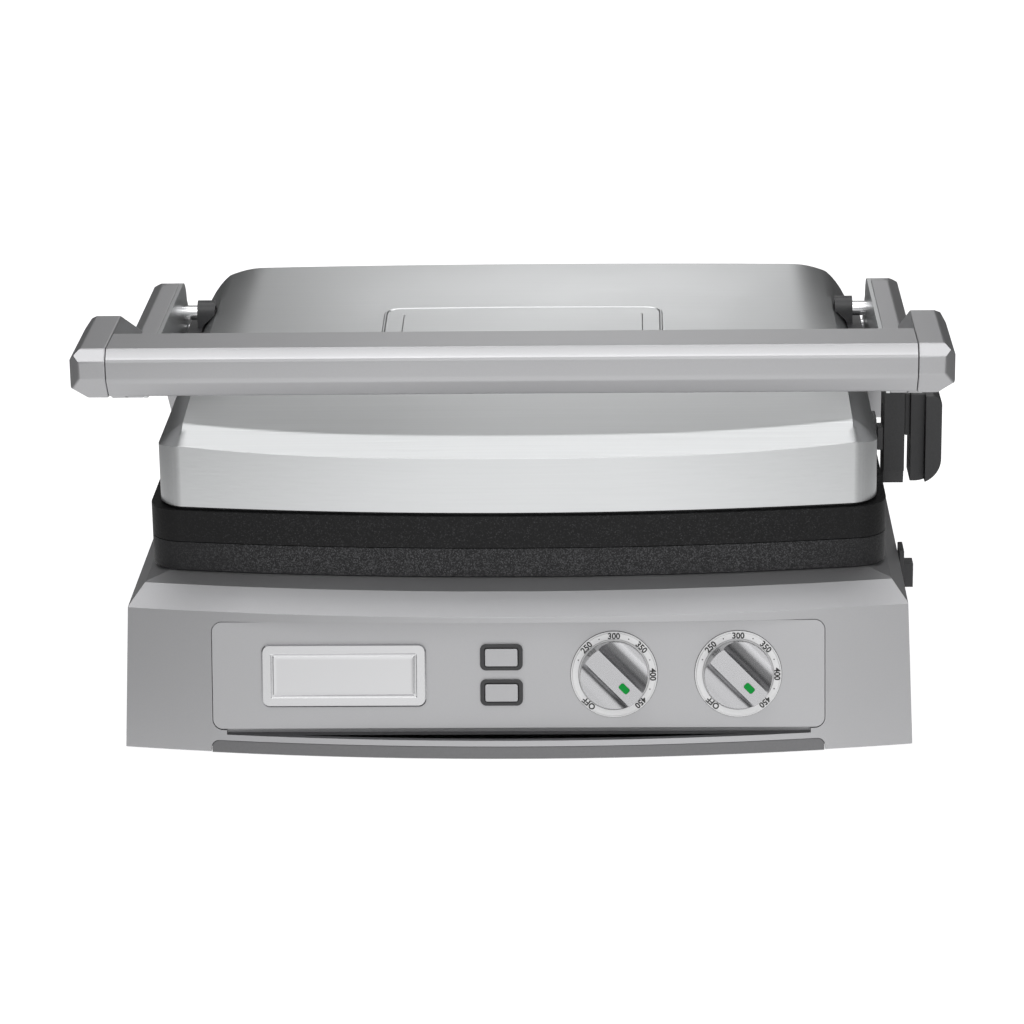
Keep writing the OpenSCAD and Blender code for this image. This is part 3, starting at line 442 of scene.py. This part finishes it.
# %% A stepped plate
def stepped(bm, w, h, r, steps):
    """A plate of nested outlines, each a distance in from the edge and at a height, closed by a field.
    The outline is a rectangle w by h with corners of radius r, extruded inwards from step to step."""
    verts = bmesh.ops.create_grid(bm, x_segments=1, y_segments=1, size=0.5)["verts"]
    bmesh.ops.transform(bm, matrix=Matrix.Diagonal((w, h, 1, 1)), verts=verts)
    made = bmesh.ops.bevel(bm, geom=verts, offset=r, offset_type="OFFSET", segments=6, affect="VERTICES",
                           profile=0.5, clamp_overlap=True, material=-1)
    face = made["verts"][0].link_faces[0]
    verts, edges = face.verts[:], face.edges[:]
    bmesh.ops.delete(bm, geom=[face], context="FACES_ONLY")
    for v in verts:
        v.co.z = steps[0][1]
    radius, inward = r, 0.0
    for goal, z in steps[1:]:
        fresh = bmesh.ops.extrude_edge_only(bm, edges=edges)["geom"]
        verts = {g for g in fresh if isinstance(g, bmesh.types.BMVert)}
        edges = list({e for v in verts for e in v.link_edges if set(e.verts) <= verts})
        smaller = max(0.5, r - goal)
        for v in verts:
            for axis, half in ((0, w / 2), (1, h / 2)):
                way = 1 if v.co[axis] > 0 else -1
                along = (abs(v.co[axis]) - (half - inward - radius)) / radius
                v.co[axis] = way * (half - goal - smaller + along * smaller)
            v.co.z = z
        radius, inward = smaller, goal
    bmesh.ops.contextual_create(bm, geom=edges)
    bmesh.ops.recalc_face_normals(bm, faces=bm.faces)
    if max(bm.faces, key=lambda f: f.calc_area()).normal.z < 0:
        bmesh.ops.reverse_faces(bm, faces=bm.faces)


print("stepped plate ready")

# %% The lid's plaque
bm = bmesh.new()
PLAQUE_Y = 12
bead = ((0, -1), (0.4, 0.5), (0.9, 0.8), (1.5, 0.8), (2.2, 0.35))
field = ((11, 0.35), (11.6, 0.6), (13, 0.6))
stepped(bm, 152, 65, 9, bead + field)
for x in range(-70, 71, 10):
    cut(bm, (x, 0, 0), (1, 0, 0))
for y in range(-26, 27, 13):
    cut(bm, (0, y, 0), (0, 1, 0))
for v in bm.verts:
    y = v.co.y + PLAQUE_Y
    v.co = Vector((v.co.x, y, v.co.z + lid_height(v.co.x, y)))
bmesh.ops.transform(bm, matrix=to_frame, verts=bm.verts)
plaque = make_piece(bm, "lid_plaque", "lid", brushed, sharp=20)
print("plaque", len(plaque.data.polygons), "faces")

# %% [markdown]
# ## The control panel
# The panel leans back with the front of the base. `on_panel` gives its own frame: x across, y up its
# face and z out of it, so dial marks and badge are drawn flat and then placed.

# %% The panel's frame
LEAN = radians(12)
PANEL_HALF_W = 154.8
PANEL_MID_Z = 38.9
BASE_FRONT = -182
PANEL_Y = BASE_FRONT + bow(PANEL_HALF_W) + PANEL_MID_Z * tan(LEAN)
DIALS = {"lower_dial_marks": 49.1, "upper_dial_marks": 111.7}
LIFT = 0.02


def on_panel(x, y, z):
    upright = Matrix.Rotation(radians(90) - LEAN, 4, "X")
    return to_frame @ Matrix.Translation((0, PANEL_Y, PANEL_MID_Z)) @ upright @ Matrix.Translation((x, y, z))


print("panel stands at y", round(PANEL_Y, 1))

# %% [markdown]
# The badge is a blank bordered plate: a raised rim with rounded edges, a groove, and a slightly cushioned
# field inside it.

# %% The blank badge
bm = bmesh.new()
BADGE_X = -87.6
edge_and_rim = ((0, 0), (0, 1.5), (0.7, 2.2), (4.6, 2.2))
groove_and_field = ((5.2, 1.75), (5.7, 1.75), (6.3, 2.2), (8, 2.0))
stepped(bm, 83.5, 32, 4, edge_and_rim + groove_and_field)
bmesh.ops.transform(bm, matrix=on_panel(BADGE_X, 0, LIFT), verts=bm.verts)
badge = make_piece(bm, "blank_badge", "base", badge_metal, sharp=20)
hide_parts("name_plate")
print("badge", len(badge.data.polygons), "faces")

# %% [markdown]
# The dial marks are plain numbers and dots printed on each ring. Text is made a mesh first, then turned
# about the dial's centre so that its top points outwards, as on the real ring. A black circle at the
# ring's outer edge is painted shadow of the gap between ring and panel.


# %% Printed marks of one dial, with a painted gap shadow
def marks(x, name, body):
    """Numbers and dots around the dial at x, clockwise from the top, and a black circle at the ring's edge
    painted as the shadow of its gap.
    """
    bm = bmesh.new()
    for word, turn in (("300", 0), ("350", 45), ("400", 90), ("450", 137), ("OFF", 221), ("250", 315)):
        text = bpy.data.curves.new(name + word, "FONT")
        text.body, text.size, text.align_x, text.align_y = word, 4.2, "CENTER", "CENTER"
        text.extrude, text.offset, text.resolution_u = 0.04, 0.12, 3
        holder = bpy.data.objects.new(name + word, text)
        mesh = bpy.data.meshes.new_from_object(holder)
        mesh.transform(Matrix.Rotation(radians(-turn), 4, "Z") @ Matrix.Translation((0, 19.45, 1.86)))
        bm.from_mesh(mesh)
        bpy.data.objects.remove(holder)
        bpy.data.meshes.remove(mesh)
    for turn in (22.5, 67.5, 112.5, 292.5, 337.5):
        spot = Matrix.Rotation(radians(-turn), 4, "Z") @ Matrix.Translation((0, 19.5, 1.86))
        bmesh.ops.create_cone(bm, cap_ends=True, segments=12, radius1=0.32, radius2=0.32, depth=0.08,
                              matrix=spot)
    # A thin black circle on the ring's outer edge: painted shadow of the gap between ring and panel.
    gap_shadow_out, gap_shadow_in = 22.1, 21.4
    edge = bmesh.ops.create_circle(bm, cap_ends=False, segments=96, radius=gap_shadow_out)["verts"]
    edge = list({e for v in edge for e in v.link_edges})
    grown = bmesh.ops.extrude_edge_only(bm, edges=edge)["geom"]
    grown = [v for v in grown if isinstance(v, bmesh.types.BMVert)]
    bmesh.ops.transform(bm, matrix=Matrix.Scale(gap_shadow_in / gap_shadow_out, 4), verts=grown)
    for v in grown + [v for e in edge for v in e.verts]:
        v.co.z = 0.12
    bmesh.ops.transform(bm, matrix=on_panel(x, 0, LIFT), verts=bm.verts)
    return make_piece(bm, name, body, print_and_gap_shade)


for name, x in DIALS.items():
    print(marks(x, name, "base").name)

# %% [markdown]
# ## Floor and light
# The floor is a wide pale plane. Its whiteness for the camera and in reflections comes from Light Path,
# so the lamps can stay at a plain level.

# %% Floor
bm = bmesh.new()
bmesh.ops.create_grid(bm, x_segments=1, y_segments=1, size=6)
mesh = bpy.data.meshes.new("floor")
bm.to_mesh(mesh)
bm.free()
floor = bpy.data.objects.new("floor", mesh)
bpy.context.scene.collection.objects.link(floor)
print("floor", round(floor.dimensions.x), "m wide")

# %% The floor's own material
paper = bpy.data.materials.new("pale_floor")
paper.use_nodes = True
tree = paper.node_tree
shader = tree.nodes["Principled BSDF"]
shader.inputs["Base Color"].default_value = (0.82, 0.82, 0.82, 1)
shader.inputs["Roughness"].default_value = 0.9
shader.inputs["Specular IOR Level"].default_value = 0.1
glow = tree.nodes.new("ShaderNodeEmission")
glow.inputs["Strength"].default_value = 0.7
both = tree.nodes.new("ShaderNodeAddShader")
to_camera = tree.nodes.new("ShaderNodeMixShader")
tree.links.new(shader.outputs["BSDF"], both.inputs[0])
tree.links.new(glow.outputs["Emission"], both.inputs[1])
path = tree.nodes.new("ShaderNodeLightPath")
tree.links.new(path.outputs["Is Camera Ray"], to_camera.inputs["Fac"])
tree.links.new(shader.outputs["BSDF"], to_camera.inputs[1])
tree.links.new(both.outputs["Shader"], to_camera.inputs[2])
print("floor glows to the camera by", glow.inputs["Strength"].default_value)


# %% What mirrors see of the floor
def ramp(tree, value, low, high, out_low, out_high):
    """A smooth step from out_low at low to out_high at high."""
    step = tree.nodes.new("ShaderNodeMapRange")
    step.interpolation_type = "SMOOTHSTEP"
    for name, number in (("From Min", low), ("From Max", high), ("To Min", out_low), ("To Max", out_high)):
        step.inputs[name].default_value = number
    tree.links.new(value, step.inputs["Value"])
    return step.outputs["Result"]


def sums(tree, kind, a, b=None):
    """One math node of a kind."""
    node = tree.nodes.new("ShaderNodeMath")
    node.operation = kind
    tree.links.new(a, node.inputs[0])
    if b is not None:
        tree.links.new(b, node.inputs[1])
    return node.outputs["Value"]


place = tree.nodes.new("ShaderNodeTexCoord")
split = tree.nodes.new("ShaderNodeSeparateXYZ")
tree.links.new(place.outputs["Object"], split.inputs["Vector"])
across = ramp(tree, sums(tree, "ABSOLUTE", split.outputs["X"]), 0.05, 0.8, 1.3, 0.2)
deep = ramp(tree, split.outputs["Y"], 0.0, 0.6, 1.0, 0.15)
mirrored = tree.nodes.new("ShaderNodeEmission")
tree.links.new(sums(tree, "MULTIPLY", across, deep), mirrored.inputs["Strength"])
to_mirrors = tree.nodes.new("ShaderNodeMixShader")
tree.links.new(path.outputs["Is Glossy Ray"], to_mirrors.inputs["Fac"])
tree.links.new(to_camera.outputs["Shader"], to_mirrors.inputs[1])
tree.links.new(mirrored.outputs["Emission"], to_mirrors.inputs[2])
tree.links.new(to_mirrors.outputs["Shader"], tree.nodes["Material Output"].inputs["Surface"])
floor.data.materials.append(paper)
print("floor made")

# %% [markdown]
# The camera sees white behind the grill. Metal is mostly what it mirrors, so mirrors see a studio: one
# bright bay running over the grill from front to back, going grey to either side and near the horizon.
# That is what gives the lid its bright middle and its darker ends.

# %% World
world = bpy.data.worlds.new("studio")
bpy.context.scene.world = world
world.use_nodes = True
tree = world.node_tree


def background(strength):
    shade = tree.nodes.new("ShaderNodeBackground")
    shade.inputs["Color"].default_value = (1, 1, 1, 1)
    shade.inputs["Strength"].default_value = strength
    return shade


way = tree.nodes.new("ShaderNodeTexCoord")
parts = tree.nodes.new("ShaderNodeSeparateXYZ")
tree.links.new(way.outputs["Generated"], parts.inputs["Vector"])
sideways = sums(tree, "ABSOLUTE", parts.outputs["X"])
height = sums(tree, "MULTIPLY", ramp(tree, parts.outputs["Z"], 0.0, 0.25, 0.3, 0.95),
              ramp(tree, parts.outputs["Z"], 0.42, 0.58, 1.0, 0.4))
back = sums(tree, "MULTIPLY", height, ramp(tree, sideways, 0.0, 0.16, 1.15, 0.08))
front = sums(tree, "MULTIPLY", ramp(tree, parts.outputs["Y"], -0.3, 0.1, 1.0, 0.0),
             ramp(tree, sideways, 0.03, 0.4, 1.15, 0.3))
dome = sums(tree, "MULTIPLY", ramp(tree, parts.outputs["Z"], 0.73, 0.9, 0.0, 1.6),
            ramp(tree, parts.outputs["Z"], 0.9, 0.97, 1.0, 0.8))
bay = sums(tree, "MAXIMUM", sums(tree, "MAXIMUM", front, back), dome)
mirrored, plain, white = background(1.0), background(0.45), background(1.0)
tree.links.new(bay, mirrored.inputs["Strength"])
path = tree.nodes.new("ShaderNodeLightPath")
for_mirrors = tree.nodes.new("ShaderNodeMixShader")
for_camera = tree.nodes.new("ShaderNodeMixShader")
clear = tree.nodes.new("ShaderNodeMath")
clear.operation = "MAXIMUM"
tree.links.new(path.outputs["Is Camera Ray"], clear.inputs[0])
tree.links.new(path.outputs["Is Transmission Ray"], clear.inputs[1])
tree.links.new(path.outputs["Is Glossy Ray"], for_mirrors.inputs["Fac"])
tree.links.new(plain.outputs["Background"], for_mirrors.inputs[1])
tree.links.new(mirrored.outputs["Background"], for_mirrors.inputs[2])
tree.links.new(clear.outputs["Value"], for_camera.inputs["Fac"])
tree.links.new(for_mirrors.outputs["Shader"], for_camera.inputs[1])
tree.links.new(white.outputs["Background"], for_camera.inputs[2])
tree.links.new(for_camera.outputs["Shader"], tree.nodes["World Output"].inputs["Surface"])
print("world made")


# %% Lamps
def lamp(name, place, aim, size, power):
    light = bpy.data.lights.new(name, "AREA")
    light.shape, light.size, light.size_y, light.energy = "RECTANGLE", size[0], size[1], power
    obj = bpy.data.objects.new(name, light)
    bpy.context.scene.collection.objects.link(obj)
    obj.location = place
    obj.rotation_euler = (Vector(aim) - Vector(place)).to_track_quat("-Z", "Y").to_euler()
    return obj


lamp("key", (-0.1, -1.3, 1.8), (0, 0, 0.1), (1.2, 0.8), 9)
lamp("fill", (0.6, -1.8, 0.7), (0, 0, 0.1), (1.0, 1.0), 3)
lamp("back", (-0.04, 1.9, 1.15), (0, 0, 0.15), (0.5, 0.3), 0.6)
lamp("overhead", (0, 0.6, 2.1), (0, -0.1, 0.15), (2.2, 0.35), 5)
print("four lamps")

# %% Colours as they are written
bpy.context.scene.view_settings.view_transform = "Standard"
print(bpy.context.scene.view_settings.view_transform)
